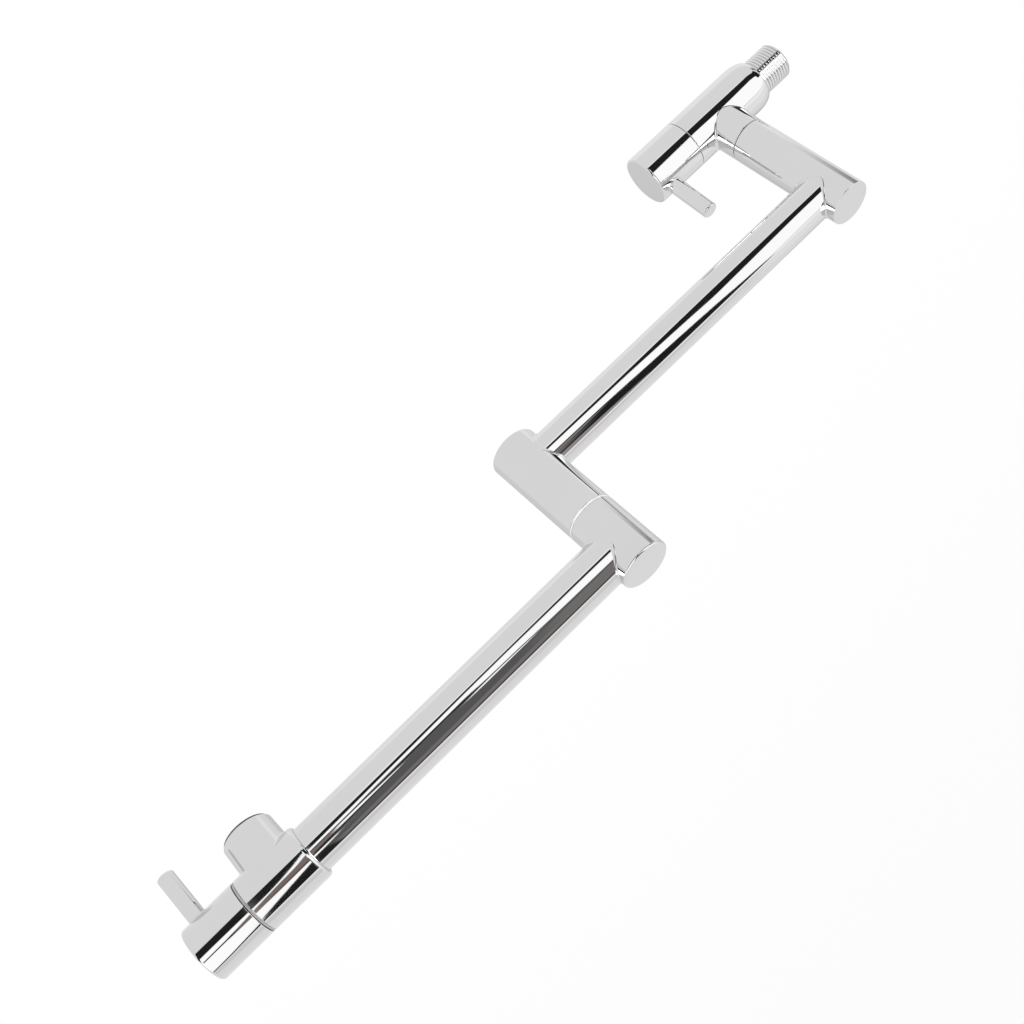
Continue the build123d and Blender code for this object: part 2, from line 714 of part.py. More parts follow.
cartridge_set("inlet", inlet_face, inlet_knob_face)
knob_set("inlet", inlet_knob_face, 2 * turning_gap)
cartridge_set("outlet", outlet_face, outlet_knob_face)
knob_set("outlet", outlet_knob_face, spacer_thickness + 2 * turning_gap)

with BuildPart() as outlet_spacer:
    hex_corner = hex_across_flats / sqrt(3)
    turned_ring(
        outlet_face,
        0,
        spacer_thickness,
        hex_corner + thread_clearance,
        valve_radius - spacer_inset,
    )
    rims = outlet_spacer.edges().filter_by(GeomType.CIRCLE).sort_by(SortBy.RADIUS)
    fillet(rims[-2:], spacer_edge)
outlet_spacer.part.label = "outlet_spacer"
export_step(outlet_spacer.part, "parts/outlet_spacer.step")
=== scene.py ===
"""Dresses a wall mounted pot filler: wall thread, polished chrome, small parts and studio."""

import json
from math import pi, radians

import bmesh
import bpy
from bpy.props import FloatProperty, FloatVectorProperty, PointerProperty
from mathutils import Matrix, Vector

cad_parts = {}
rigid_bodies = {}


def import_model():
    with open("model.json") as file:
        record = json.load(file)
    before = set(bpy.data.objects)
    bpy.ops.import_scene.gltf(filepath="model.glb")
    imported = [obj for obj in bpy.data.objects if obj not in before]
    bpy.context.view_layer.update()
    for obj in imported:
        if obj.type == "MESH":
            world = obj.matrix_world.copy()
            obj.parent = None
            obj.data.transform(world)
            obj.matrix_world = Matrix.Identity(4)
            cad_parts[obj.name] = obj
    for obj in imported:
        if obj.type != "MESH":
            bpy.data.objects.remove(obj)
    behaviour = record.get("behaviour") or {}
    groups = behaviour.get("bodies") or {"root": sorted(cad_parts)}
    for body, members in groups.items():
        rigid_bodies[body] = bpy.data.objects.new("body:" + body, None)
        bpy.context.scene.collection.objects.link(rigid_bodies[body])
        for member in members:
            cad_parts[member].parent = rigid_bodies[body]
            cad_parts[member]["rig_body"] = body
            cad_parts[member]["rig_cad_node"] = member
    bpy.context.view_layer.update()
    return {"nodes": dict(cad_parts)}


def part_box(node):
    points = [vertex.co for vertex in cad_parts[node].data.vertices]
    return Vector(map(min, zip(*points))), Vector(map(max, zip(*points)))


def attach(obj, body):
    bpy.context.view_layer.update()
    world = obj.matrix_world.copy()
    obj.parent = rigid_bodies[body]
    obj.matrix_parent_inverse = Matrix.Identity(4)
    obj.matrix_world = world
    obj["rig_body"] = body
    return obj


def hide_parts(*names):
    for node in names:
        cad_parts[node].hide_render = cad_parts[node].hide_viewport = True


bl_info = {
    "name": "Wall mounted pot filler",
    "version": (1, 0, 0),
    "blender": (4, 5, 0),
    "location": "3D View > Sidebar > Pot filler",
    "description": "Cuts the wall thread, polishes the metal and sets up the studio",
    "category": "Object",
}

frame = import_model()
nodes = frame["nodes"]

# Outer radius of the G 1/2 wall thread, on the X axis.
THREAD_RADIUS = 0.010478
# How far each lever leans about the axis of its valve: the inlet's from straight up towards the
# back, the outlet's from straight down towards the front.
INLET_LEAN = radians(4.5)
OUTLET_LEAN = radians(7.5)
# A noise texture mostly stays between these values.
NOISE_LOW = 0.3
NOISE_HIGH = 0.7


# ------------------------------------------------------------------ settings
class PotFillerThread(bpy.types.PropertyGroup):
    """Sizes of the G 1/2 wall thread"""

    pitch: FloatProperty(
        name="Pitch", description="Distance from crest to crest",
        default=0.001814, unit="LENGTH",
    )
    depth: FloatProperty(
        name="Depth", description="Distance from crest to root",
        default=0.0008, unit="LENGTH",
    )
    mouth: FloatProperty(
        name="Groove", description="Width of the groove, as a part of the pitch",
        default=0.5, min=0.1, max=1,
    )
    chamfer: FloatProperty(
        name="End chamfer", description="Bevel that leads the thread into the wall fitting",
        default=0.0012, unit="LENGTH",
    )
    relief: FloatProperty(
        name="Run-out", description="Stretch at the shoulder where the groove runs out",
        default=0.0005, unit="LENGTH",
    )


class PotFillerTrim(bpy.types.PropertyGroup):
    """Small beads where tubes and levers are let in"""

    bead: FloatProperty(
        name="Joint bead", description="Radius of the polished bead round a tube joint",
        default=0.0008, unit="LENGTH",
    )
    ring: FloatProperty(
        name="Lever ring", description="Radius of the bead round the foot of a lever",
        default=0.0005, unit="LENGTH",
    )


class PotFillerFinish(bpy.types.PropertyGroup):
    """Colours of the metals, plastics and seals"""

    chrome: FloatVectorProperty(
        name="Chrome", description="Reflection colour of the polished plating",
        default=(0.66, 0.66, 0.665), subtype="COLOR", min=0, max=1,
    )
    brass: FloatVectorProperty(
        name="Brass", description="Colour of the posts, cartridges and spindles",
        default=(0.72, 0.52, 0.26), subtype="COLOR", min=0, max=1,
    )
    steel: FloatVectorProperty(
        name="Steel", description="Colour of the grub screws and spindle clips",
        default=(0.52, 0.53, 0.54), subtype="COLOR", min=0, max=1,
    )
    spacer: FloatVectorProperty(
        name="Spacer", description="Colour of the matt ring behind the outlet knob",
        default=(0.42, 0.415, 0.405), subtype="COLOR", min=0, max=1,
    )
    aerator: FloatVectorProperty(
        name="Aerator", description="Colour of the rim in the mouth of the spout",
        default=(0.12, 0.12, 0.125), subtype="COLOR", min=0, max=1,
    )
    grid: FloatVectorProperty(
        name="Aerator grid", description="Colour of the moulded grid",
        default=(0.60, 0.61, 0.62), subtype="COLOR", min=0, max=1,
    )
    dark_washer: FloatVectorProperty(
        name="Dark washer", description="Colour of the washer in the first swivel",
        default=(0.08, 0.08, 0.08), subtype="COLOR", min=0, max=1,
    )
    washer: FloatVectorProperty(
        name="Pale washer", description="Colour of the washer in the middle swivel",
        default=(0.86, 0.86, 0.85), subtype="COLOR", min=0, max=1,
    )
    rubber: FloatVectorProperty(
        name="Rubber", description="Colour of the seals",
        default=(0.03, 0.03, 0.032), subtype="COLOR", min=0, max=1,
    )
    ceramic: FloatVectorProperty(
        name="Ceramic", description="Colour of the valve discs",
        default=(0.80, 0.79, 0.76), subtype="COLOR", min=0, max=1,
    )


class PotFillerStudio(bpy.types.PropertyGroup):
    """Camera, floor and lights"""

    lens: FloatProperty(
        name="Lens", description="Focal length on a 36 mm sensor",
        default=50.083, min=10, max=200,
    )
    camera_place: FloatVectorProperty(
        name="Camera", description="Where the camera stands",
        default=(0.3579, -0.6002, 0.4318), subtype="TRANSLATION", unit="LENGTH",
    )
    floor_level: FloatProperty(
        name="Floor level", description="Height of the pale floor",
        default=-0.25, unit="LENGTH",
    )
    floor_size: FloatProperty(
        name="Floor size", description="Side of the square floor",
        default=60.0, unit="LENGTH",
    )
    floor_paper: FloatVectorProperty(
        name="Floor", description="Colour of the floor where it takes shadow",
        default=(0.9, 0.9, 0.9), subtype="COLOR", min=0, max=1,
    )
    floor_glow: FloatProperty(
        name="Floor glow", description="Share of the floor's white that is its own light",
        default=0.75, min=0, max=1,
    )
    lamp_power: FloatProperty(
        name="Lamp power", description="Power of the soft lamp over the front",
        default=14.0, min=0,
    )
    lamp_size: FloatProperty(
        name="Lamp size", description="Side of the square lamp",
        default=1.6, unit="LENGTH",
    )
    lamp_place: FloatVectorProperty(
        name="Lamp", description="Where the soft lamp hangs",
        default=(0.5, -1.2, 1.9), subtype="TRANSLATION", unit="LENGTH",
    )
    lamp_aim: FloatVectorProperty(
        name="Lamp aim", description="The middle of the object, at which the lamp points",
        default=(0.24, 0, 0.08), subtype="TRANSLATION", unit="LENGTH",
    )
    grey_card_place: FloatVectorProperty(
        name="Grey card", description="Middle of the upright grey card on the wall side",
        default=(-0.6, -0.075, 0), subtype="TRANSLATION", unit="LENGTH",
    )
    grey_card_height: FloatProperty(
        name="Grey card height", description="Height of the grey card",
        default=0.7, unit="LENGTH",
    )
    grey_card_width: FloatProperty(
        name="Grey card width", description="Width of the grey card",
        default=0.5, unit="LENGTH",
    )
    grey_card: FloatVectorProperty(
        name="Grey card colour", description="Grey of the card on the wall side",
        default=(0.15, 0.15, 0.15), subtype="COLOR", min=0, max=1,
    )
    lit: FloatVectorProperty(
        name="Lit card", description="Bright card or table that the chrome mirrors",
        default=(1.46, 1.46, 1.46), subtype="COLOR", min=0, max=4,
    )
    groove_light: FloatProperty(
        name="Groove light", description="Times brighter the lit card is in the thread's grooves",
        default=3.2, min=1, max=10,
    )
    surround: FloatVectorProperty(
        name="Surround", description="Pale paper all round, as the chrome mirrors it",
        default=(0.99, 0.99, 0.99), subtype="COLOR", min=0, max=4,
    )
    shade: FloatVectorProperty(
        name="Shaded paper", description="Slightly darker paper",
        default=(0.84, 0.84, 0.84), subtype="COLOR", min=0, max=4,
    )
    dusk: FloatVectorProperty(
        name="Dusk", description="Darker paper behind the object",
        default=(0.69, 0.69, 0.69), subtype="COLOR", min=0, max=4,
    )
    paper: FloatVectorProperty(
        name="Near paper", description="Brighter paper",
        default=(1.11, 1.11, 1.11), subtype="COLOR", min=0, max=4,
    )
    rim: FloatVectorProperty(
        name="Rim light", description="Thin light edges of the flags",
        default=(1.25, 1.25, 1.25), subtype="COLOR", min=0, max=4,
    )
    flag: FloatVectorProperty(
        name="Black flag", description="Black card that edges the reflections",
        default=(0.018, 0.018, 0.018), subtype="COLOR", min=0, max=1,
    )
    wall: FloatVectorProperty(
        name="Wall", description="Dark wall behind the camera",
        default=(0.135, 0.13, 0.13), subtype="COLOR", min=0, max=1,
    )
    board: FloatVectorProperty(
        name="Board", description="Grey board low on the wall",
        default=(0.235, 0.22, 0.215), subtype="COLOR", min=0, max=1,
    )
    foot: FloatVectorProperty(
        name="Foot", description="Dark foot of the wall",
        default=(0.06, 0.057, 0.057), subtype="COLOR", min=0, max=1,
    )
    warm: FloatVectorProperty(
        name="Warm board", description="Brown board to the right",
        default=(0.26, 0.20, 0.18), subtype="COLOR", min=0, max=1,
    )
    tan: FloatVectorProperty(
        name="Tan board", description="Pale board to the left",
        default=(0.40, 0.37, 0.355), subtype="COLOR", min=0, max=1,
    )


# ------------------------------------------------------------------ modelling helpers
def pick_nothing():
    """Leaves object mode with nothing selected."""
    if bpy.context.object and bpy.context.object.mode != "OBJECT":
        bpy.ops.object.mode_set(mode="OBJECT")
    bpy.ops.object.select_all(action="DESELECT")


def pick(piece):
    """Makes a piece the only selected and the active one."""
    pick_nothing()
    piece.select_set(True)
    bpy.context.view_layer.objects.active = piece


def new_piece(name):
    """Names the primitive that was just added."""
    piece = bpy.context.object
    piece.name = name
    piece.data.name = name
    return piece


def apply_modifier(piece, kind, **settings):
    """Adds a modifier, sets it and applies it."""
    pick(piece)
    modifier = piece.modifiers.new(kind.title(), kind)
    for key, value in settings.items():
        setattr(modifier, key, value)
    bpy.ops.object.modifier_apply(modifier=modifier.name)


def settle(piece):
    """Moves a piece's place into its mesh, so its object sits at the origin."""
    pick(piece)
    bpy.ops.object.transform_apply(location=True, rotation=True, scale=True)


def pick_faces(piece, wanted):
    """Selects the faces that pass a test, and stays in edit mode."""
    pick(piece)
    bpy.ops.object.mode_set(mode="EDIT")
    bpy.ops.mesh.select_mode(type="FACE")
    bpy.ops.mesh.select_all(action="DESELECT")
    mesh = bmesh.from_edit_mesh(piece.data)
    count = 0
    for face in mesh.faces:
        if wanted(face):
            face.select = True
            count += 1
    bmesh.update_edit_mesh(piece.data)
    if not count:
        raise RuntimeError(f"no faces of {piece.name} were found")


# ------------------------------------------------------------------ materials
def new_material(name, colour, metallic, roughness):
    """A material with its values before texture; returns material, tree and shader."""
    material = bpy.data.materials.new(name)
    material.use_nodes = True
    tree = material.node_tree
    shader = tree.nodes["Principled BSDF"]
    shader.inputs["Base Color"].default_value = (*colour, 1)
    shader.inputs["Metallic"].default_value = metallic
    shader.inputs["Roughness"].default_value = roughness
    material.diffuse_color = (*colour, 1)
    return material, tree, shader


def object_coordinates(tree, scale=(1, 1, 1)):
    """Object coordinates through a Mapping node."""
    coordinates = tree.nodes.new("ShaderNodeTexCoord")
    mapping = tree.nodes.new("ShaderNodeMapping")
    mapping.inputs["Scale"].default_value = scale
    tree.links.new(coordinates.outputs["Object"], mapping.inputs["Vector"])
    return mapping.outputs["Vector"]


def noise(tree, vector, scale, detail=2.0):
    """A noise texture; returns its factor."""
    texture = tree.nodes.new("ShaderNodeTexNoise")
    texture.inputs["Scale"].default_value = scale
    texture.inputs["Detail"].default_value = detail
    tree.links.new(vector, texture.inputs["Vector"])
    return texture.outputs["Fac"]


def to_range(tree, value, low, high, start=NOISE_LOW, stop=NOISE_HIGH):
    """Spreads a factor over a range of values; low comes at start and high at stop."""
    spread = tree.nodes.new("ShaderNodeMapRange")
    spread.inputs["From Min"].default_value = start
    spread.inputs["From Max"].default_value = stop
    spread.inputs["To Min"].default_value = low
    spread.inputs["To Max"].default_value = high
    tree.links.new(value, spread.inputs["Value"])
    return spread.outputs["Result"]


def gloss(tree, shader, factor, low, high):
    """Varies the roughness with a factor."""
    tree.links.new(to_range(tree, factor, low, high), shader.inputs["Roughness"])


def bump(tree, shader, height, strength, distance):
    """Bump from a factor; distance is its height in metres at full strength."""
    node = tree.nodes.new("ShaderNodeBump")
    node.inputs["Strength"].default_value = strength
    node.inputs["Distance"].default_value = distance
    tree.links.new(height, node.inputs["Height"])
    tree.links.new(node.outputs["Normal"], shader.inputs["Normal"])


def shaded(colour, share):
    """A colour made darker or lighter."""
    return tuple(min(1.0, channel * share) for channel in colour)


def tinted(tree, shader, factor, colour, dark, light):
    """Varies the base colour with a factor, between two shares of a colour."""
    ramp = tree.nodes.new("ShaderNodeValToRGB")
    low, high = ramp.color_ramp.elements
    low.position = NOISE_LOW
    high.position = NOISE_HIGH
    low.color = (*shaded(colour, dark), 1)
    high.color = (*shaded(colour, light), 1)
    tree.links.new(factor, ramp.inputs["Fac"])
    tree.links.new(ramp.outputs["Color"], shader.inputs["Base Color"])


def polished_chrome(colour):
    """Bright plating: a hair of polishing ripple and faint changes in gloss."""
    material, tree, shader = new_material("polished_chrome", colour, metallic=1.0, roughness=0.03)
    place = object_coordinates(tree)
    gloss(tree, shader, noise(tree, place, scale=45, detail=3), 0.018, 0.05)
    tinted(tree, shader, noise(tree, place, scale=18), colour, dark=0.985, light=1.01)
    bump(tree, shader, noise(tree, place, scale=160), strength=0.25, distance=0.00001)
    return material


def turned_brass(colour):
    """Machined brass with fine tool marks and a little tarnish."""
    material, tree, shader = new_material("turned_brass", colour, metallic=1.0, roughness=0.26)
    place = object_coordinates(tree)
    tarnish = noise(tree, place, scale=90, detail=4)
    tinted(tree, shader, tarnish, colour, dark=0.78, light=1.05)
    gloss(tree, shader, tarnish, 0.2, 0.36)
    bump(tree, shader, noise(tree, place, scale=2600), strength=0.3, distance=0.00002)
    return material


def plain_steel(colour):
    """Grey steel of small screws and clips."""
    material, tree, shader = new_material("screw_steel", colour, metallic=1.0, roughness=0.3)
    place = object_coordinates(tree)
    grain = noise(tree, place, scale=900, detail=3)
    tinted(tree, shader, grain, colour, dark=0.85, light=1.05)
    gloss(tree, shader, grain, 0.24, 0.38)
    bump(tree, shader, grain, strength=0.3, distance=0.00002)
    return material


def matt_spacer(colour):
    """Fine blasted metal ring."""
    material, tree, shader = new_material("matt_spacer", colour, metallic=0.6, roughness=0.42)
    place = object_coordinates(tree)
    grain = noise(tree, place, scale=3200)
    tinted(tree, shader, grain, colour, dark=0.9, light=1.08)
    gloss(tree, shader, noise(tree, place, scale=220), 0.38, 0.48)
    bump(tree, shader, grain, strength=0.4, distance=0.00002)
    return material


def satin_rim(colour):
    """Turned rim of the aerator, its tool marks squeezed together along the spout."""
    material, tree, shader = new_material("aerator_rim", colour, metallic=1.0, roughness=0.3)
    place = object_coordinates(tree, scale=(1, 1, 30))
    lines = noise(tree, place, scale=140)
    tinted(tree, shader, lines, colour, dark=0.85, light=1.1)
    gloss(tree, shader, lines, 0.25, 0.38)
    bump(tree, shader, lines, strength=0.3, distance=0.00002)
    return material


def moulded_plastic(name, colour):
    """Moulded plastic with a light sheen and fine grain."""
    material, tree, shader = new_material(name, colour, metallic=0.0, roughness=0.4)
    place = object_coordinates(tree)
    grain = noise(tree, place, scale=1800, detail=3)
    tinted(tree, shader, noise(tree, place, scale=240), colour, dark=0.93, light=1.05)
    gloss(tree, shader, grain, 0.34, 0.46)
    bump(tree, shader, grain, strength=0.25, distance=0.00003)
    return material


def seal_rubber(colour):
    """Dull black rubber with a faint bloom."""
    material, tree, shader = new_material("seal_rubber", colour, metallic=0.0, roughness=0.62)
    place = object_coordinates(tree)
    bloom = noise(tree, place, scale=500, detail=3)
    tinted(tree, shader, bloom, colour, dark=0.8, light=1.5)
    gloss(tree, shader, bloom, 0.55, 0.72)
    bump(tree, shader, noise(tree, place, scale=2400), strength=0.35, distance=0.00004)
    return material


def lapped_ceramic(colour):
    """Smooth fired ceramic of the valve discs."""
    material, tree, shader = new_material("lapped_ceramic", colour, metallic=0.0, roughness=0.18)
    place = object_coordinates(tree)
    cloud = noise(tree, place, scale=300, detail=3)
    tinted(tree, shader, cloud, colour, dark=0.95, light=1.03)
    gloss(tree, shader, cloud, 0.14, 0.24)
    return material


def finish_slot(slot, material):
    """Gives a material to every packed node whose surface has that slot."""
    found = 0
    for piece in nodes.values():
        for place in piece.material_slots:
            if place.material and place.material.name.split(".")[0] == slot:
                place.link = "OBJECT"
                place.material = material
                found += 1
    if not found:
        raise RuntimeError(f"no packed node has the slot {slot}")


# ------------------------------------------------------------------ wall thread and beads
def casting_without_thread(end, chamfer):
    """A copy of the packed inlet casting, with the side of its plain thread taken off."""
    casting = nodes["inlet_body"].copy()
    casting.data = casting.data.copy()
    casting.parent = None
    # The marks of the packed node stay with the packed node.
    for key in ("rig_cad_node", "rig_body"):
        if key in casting:
            del casting[key]
    casting.name = "inlet_casting"
    casting.data.name = "inlet_casting"
    bpy.context.scene.collection.objects.link(casting)
    # The flat faces at the end and at the shoulder stay.
    off_flat = 0.00001

    def on_plain_thread(face):
        centre = face.calc_center_median()
        around = Vector((0, centre.y, centre.z)).length
        return end + off_flat < centre.x < -off_flat and around > THREAD_RADIUS - chamfer

    pick_faces(casting, on_plain_thread)
    bpy.ops.mesh.delete(type="FACE")
    pick_nothing()
    return casting


def thread_outline(sizes):
    """One pitch of the outline, as (along, sunk): sunk is a part of the groove's depth."""
    half_mouth = sizes.pitch * sizes.mouth / 2
    # From the rounded lip down to the rounded root, as parts of the half width and the depth.
    flank = (
        (1, 0), (0.9, 0.02), (0.82, 0.065), (0.72, 0.15), (0.3, 0.73), (0.2, 0.85), (0.1, 0.95),
    )
    corners = [(-sizes.pitch / 2, 0), (-(sizes.pitch / 2 + half_mouth) / 2, 0)]
    corners += [(-across * half_mouth, sunk) for across, sunk in flank]
    return corners + [(0, 1)] + [(-along, sunk) for along, sunk in reversed(corners)]


def swept_thread(end, sizes):
    """The outline swept as a helix, then cut off square at both ends."""
    corners = thread_outline(sizes)
    # The helix starts before the thread's end and goes on past the shoulder.
    turns = int(-end / sizes.pitch) + 3
    start = -(turns - 1) * sizes.pitch
    bpy.ops.mesh.primitive_circle_add(vertices=len(corners), fill_type="NOTHING")
    thread = new_piece("wall_thread")
    for corner, (along, sunk) in zip(thread.data.vertices, corners):
        corner.co = (start + along, 0, THREAD_RADIUS - sunk * sizes.depth)
    # The one long edge, which closes the circle, is taken out.
    pick(thread)
    bpy.ops.object.mode_set(mode="EDIT")
    bpy.ops.mesh.select_mode(type="EDGE")
    bpy.ops.mesh.select_all(action="DESELECT")
    mesh = bmesh.from_edit_mesh(thread.data)
    for edge in mesh.edges:
        edge.select = edge.calc_length() > sizes.pitch * 0.9
    bpy.ops.mesh.delete(type="EDGE")
    pick_nothing()
    apply_modifier(
        thread, "SCREW", axis="X", angle=2 * pi, screw_offset=sizes.pitch,
        iterations=turns, steps=144, render_steps=144,
    )
    pick(thread)
    bpy.ops.object.mode_set(mode="EDIT")
    bpy.ops.mesh.select_all(action="SELECT")
    bpy.ops.mesh.remove_doubles(threshold=0.000001)
    for place, side in ((end, -1), (0, 1)):
        bpy.ops.mesh.select_all(action="SELECT")
        bpy.ops.mesh.bisect(
            plane_co=(place, 0, 0), plane_no=(side, 0, 0), clear_outer=True,
            threshold=0.0000001,
        )
    bpy.ops.mesh.select_all(action="SELECT")
    bpy.ops.mesh.normals_make_consistent(inside=False)
    pick_nothing()
    return thread


def ease_thread_ends(thread, end, sizes):
    """Gives the thread the chamfer that leads it in and the run-out at the shoulder."""
    for vertex in thread.data.vertices:
        out = Vector((0, vertex.co.y, vertex.co.z))
        chamfered = THREAD_RADIUS - sizes.chamfer + max(vertex.co.x - end, 0)
        rise = max(1 + vertex.co.x / sizes.relief, 0)
        radius = min(out.length + (THREAD_RADIUS - out.length) * rise, chamfered)
        vertex.co = Vector((vertex.co.x, 0, 0)) + out.normalized() * radius


def saddle_bead(name, foot, thickness, wall, place, turn):
    """A torus round a bar of radius foot, bent onto the round wall that the bar leaves."""
    pick_nothing()
    bpy.ops.mesh.primitive_torus_add(
        major_radius=foot, minor_radius=thickness, major_segments=96, minor_segments=12,
    )
    bead = new_piece(name)
    for vertex in bead.data.vertices:
        vertex.co.z += max(wall * wall - vertex.co.y * vertex.co.y, 0) ** 0.5
    bead.location = place
    bead.rotation_euler = turn
    settle(bead)
    bpy.ops.object.shade_smooth()
    bead.data.materials.append(bpy.data.materials["polished_chrome"])
    return bead


# ------------------------------------------------------------------ operators
class POTFILLER_OT_wall_thread(bpy.types.Operator):
    """Cut the wall thread and fit it to a copy of the inlet casting, in place of the packed body
    """

    bl_idname = "potfiller.wall_thread"
    bl_label = "Cut wall thread"

    def execute(self, context):
        sizes = context.scene.pot_filler_thread
        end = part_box("inlet_body")[0].x
        casting = casting_without_thread(end, sizes.chamfer)
        thread = swept_thread(end, sizes)
        ease_thread_ends(thread, end, sizes)
        pick(thread)
        bpy.ops.object.shade_smooth_by_angle(angle=radians(30))
        for piece in (casting, thread):
            piece.data.materials.clear()
            piece.data.materials.append(bpy.data.materials["polished_chrome"])
            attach(piece, "wall_valve")
            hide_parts("inlet_body")
        return {"FINISHED"}


class POTFILLER_OT_chrome(bpy.types.Operator):
    """Polish the bodies, arms, knobs and levers"""

    bl_idname = "potfiller.chrome"
    bl_label = "Polish chrome"

    def execute(self, context):
        finish = context.scene.pot_filler_finish
        finish_slot("chrome", polished_chrome(finish.chrome))
        return {"FINISHED"}


class POTFILLER_OT_joint_beads(bpy.types.Operator):
    """Run a polished bead round each tube joint and the foot of each lever"""

    bl_idname = "potfiller.joint_beads"
    bl_label = "Add joint beads"

    def execute(self, context):
        trim = context.scene.pot_filler_trim
        # A bead's own Z axis points along the bar, and its X axis along the wall's axis.
        for name, tube, wall, body, tilt in (
            ("arm_1_sleeve_bead", "arm_1_tube", "arm_1_sleeve", "lower_arm", pi / 2),
            ("arm_1_socket_bead", "arm_1_tube", "arm_1_socket", "lower_arm", -pi / 2),
            ("arm_2_hub_bead", "arm_2_tube", "arm_2_hub", "upper_arm", pi / 2),
        ):
            low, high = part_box(tube)
            wall_low, wall_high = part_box(wall)
            bead = saddle_bead(
                name, (high.y - low.y) / 2, trim.bead, (wall_high.y - wall_low.y) / 2,
                ((wall_low.x + wall_high.x) / 2, 0, (low.z + high.z) / 2), (0, tilt, 0),
            )
            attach(bead, body)
        for valve, lean in (("inlet", -INLET_LEAN), ("outlet", pi - OUTLET_LEAN)):
            low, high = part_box(valve + "_lever")
            knob_low, knob_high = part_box(valve + "_knob")
            ring = saddle_bead(
                valve + "_lever_ring", (high.x - low.x) / 2, trim.ring,
                (knob_high.y - knob_low.y) / 2,
                ((low.x + high.x) / 2, 0, (knob_low.z + knob_high.z) / 2), (lean, 0, 0),
            )
            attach(ring, valve + "_control")
        return {"FINISHED"}


class POTFILLER_OT_small_parts(bpy.types.Operator):
    """Finish the screws, the spacer ring, the bearing washers and the aerator"""

    bl_idname = "potfiller.small_parts"
    bl_label = "Finish small parts"

    def execute(self, context):
        finish = context.scene.pot_filler_finish
        finish_slot("steel", plain_steel(finish.steel))
        finish_slot("spacer_metal", matt_spacer(finish.spacer))
        finish_slot("aerator_metal", satin_rim(finish.aerator))
        finish_slot("aerator_plastic", moulded_plastic("aerator_grid", finish.grid))
        finish_slot("plastic", moulded_plastic("pale_washer", finish.washer))
        nodes["swivel_1_bearing"].material_slots[0].material = moulded_plastic(
            "dark_washer", finish.dark_washer
        )
        return {"FINISHED"}


class POTFILLER_OT_valve_inside(bpy.types.Operator):
    """Finish the brass, rubber and ceramic inside the valves and swivels"""

    bl_idname = "potfiller.valve_inside"
    bl_label = "Finish valve insides"

    def execute(self, context):
        finish = context.scene.pot_filler_finish
        finish_slot("brass", turned_brass(finish.brass))
        finish_slot("rubber", seal_rubber(finish.rubber))
        finish_slot("ceramic", lapped_ceramic(finish.ceramic))
        return {"FINISHED"}


